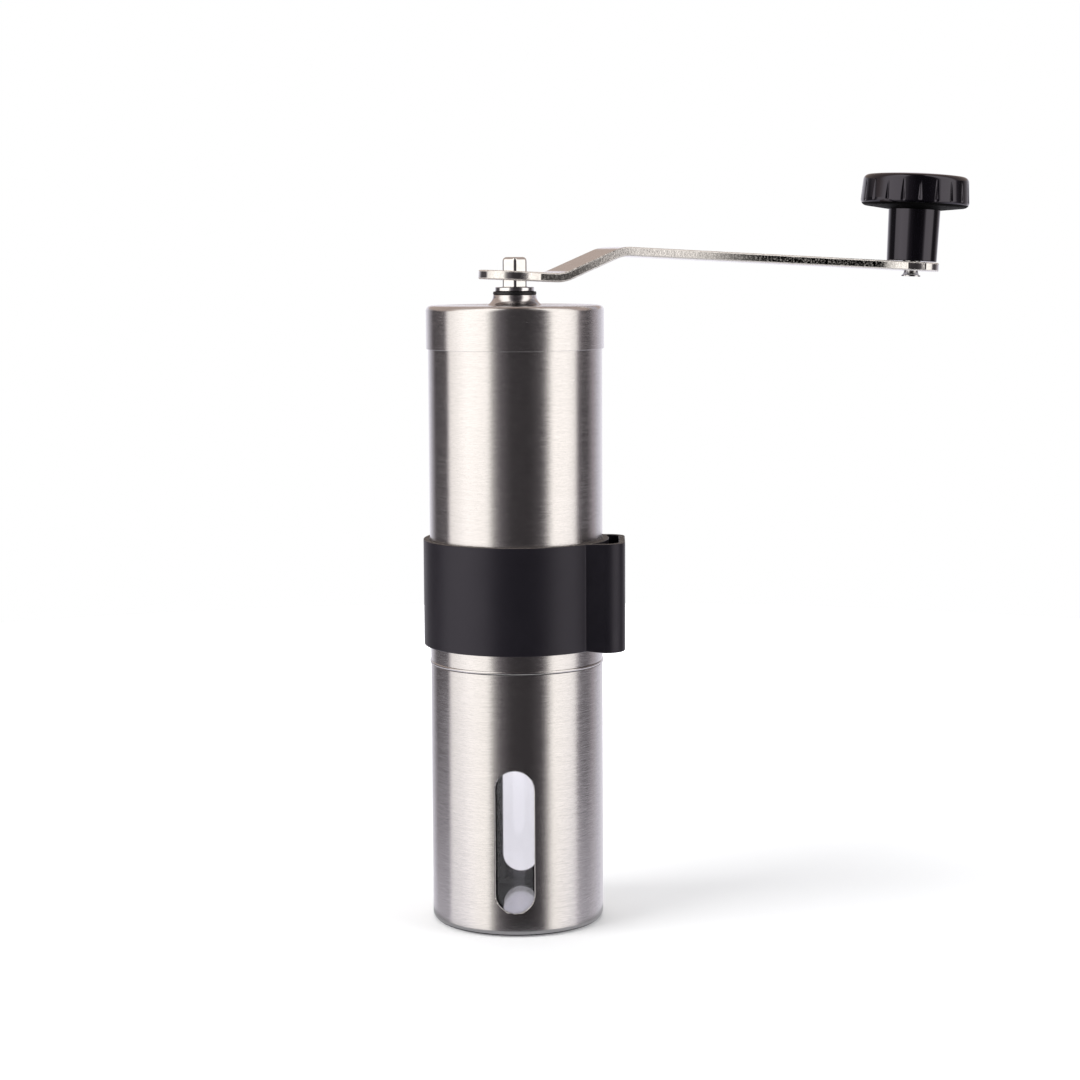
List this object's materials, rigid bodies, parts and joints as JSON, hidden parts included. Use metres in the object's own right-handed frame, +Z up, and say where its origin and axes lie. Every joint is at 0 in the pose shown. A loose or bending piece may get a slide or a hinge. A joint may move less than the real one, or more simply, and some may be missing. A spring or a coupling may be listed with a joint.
{
  "type": "manual coffee grinder",
  "caption": "Slim steel hand grinder with a lift-off crank and lid, conical burrs, a pull-off catch tube with window slots and a rubber crank band.",
  "frame": {"origin": "centre of the flat base that the grinder stands on", "axes": "+Z up along the drive shaft; the two window slots face -Y and +Y; the crank points from +X towards +Y by 21.5 degrees"},
  "size_m": [0.1533, 0.085, 0.2045],
  "materials": {
    "brushed_tube": "stainless sheet, brushed round the tube",
    "brushed_lid": "stainless sheet, brushed round the cap",
    "clear_liner": "clear moulded, glossy",
    "chromed_bush": "bright chrome",
    "polished_shaft": "turned and polished",
    "polished_arm": "stamped, polished faces with rough cut edges",
    "steel_fixings": "plain bright steel",
    "knob_plastic": "glossy moulded black",
    "band_rubber": "satin moulded silicone",
    "black_moulding": "satin moulded nylon",
    "bronze": "sintered, oily",
    "burr_ceramic": "unglazed, fine matt"
  },
  "bodies": {
    "grinder_body": {"hopper_tube": "brushed_tube", "bearing_bracket": "black_moulding", "shaft_bush": "bronze", "burr_housing": "black_moulding", "ring_burr": "burr_ceramic", "burr_retainer": "black_moulding", "retainer_screws": "steel_fixings", "spigot_seal": "band_rubber"},
    "shaft": {"drive_shaft": "polished_shaft", "thrust_washer": "steel_fixings", "shaft_clip": "steel_fixings", "burr_spring": "steel_fixings"},
    "burr": {"conical_burr": "burr_ceramic", "burr_core": "black_moulding"},
    "adjuster": {"adjuster_knob": "black_moulding", "adjuster_nut": "steel_fixings"},
    "lid": {"lid_cap": "brushed_lid", "neck_washer": "black_moulding", "lid_bush": "chromed_bush"},
    "crank": {"crank_arm": "polished_arm", "knob_pin": "steel_fixings"},
    "knob": {"knob_stem": "knob_plastic", "knob_head": "knob_plastic"},
    "catch": {"catch_tube": "brushed_tube", "window_liner": "clear_liner"},
    "band": {"crank_band": "band_rubber"}
  },
  "joints": [
    {"name": "crank_spin", "type": "hinge", "parent": "grinder_body", "child": "shaft", "pos_m": [0, 0, 0.1], "axis": [0, 0, 1], "continuous": true},
    {"name": "burr_travel", "type": "slide", "parent": "shaft", "child": "burr", "axis": [0, 0, 1], "range_m": [-0.00155, 0.00055], "deforming": ["burr_spring"]},
    {"name": "adjuster_turn", "type": "hinge", "parent": "burr", "child": "adjuster", "pos_m": [0, 0, 0.0565], "axis": [0, 0, 1], "range_deg": [-540, 180]},
    {"name": "lid_lift", "type": "slide", "parent": "grinder_body", "child": "lid", "axis": [0, 0, 1], "range_m": [0, 0.03]},
    {"name": "crank_lift", "type": "slide", "parent": "shaft", "child": "crank", "axis": [0, 0, 1], "range_m": [0, 0.06]},
    {"name": "knob_spin", "type": "hinge", "parent": "crank", "child": "knob", "pos_m": [0.11194, 0.04409, 0.1792], "axis": [0.0471, 0.0185, 0.9987], "continuous": true},
    {"name": "catch_pull", "type": "slide", "parent": "grinder_body", "child": "catch", "axis": [0, 0, -1], "range_m": [0, 0.04]},
    {"name": "band_slide", "type": "slide", "parent": "grinder_body", "child": "band", "axis": [0, 0, 1], "range_m": [-0.0035, 0.048]}
  ],
  "couplings": [
    {"joint": "burr_travel", "follows": "adjuster_turn", "m_per_rad": 0.00015915},
    {"joint": "lid_lift", "follows": "crank_lift", "ratio": 0.5}
  ]
}
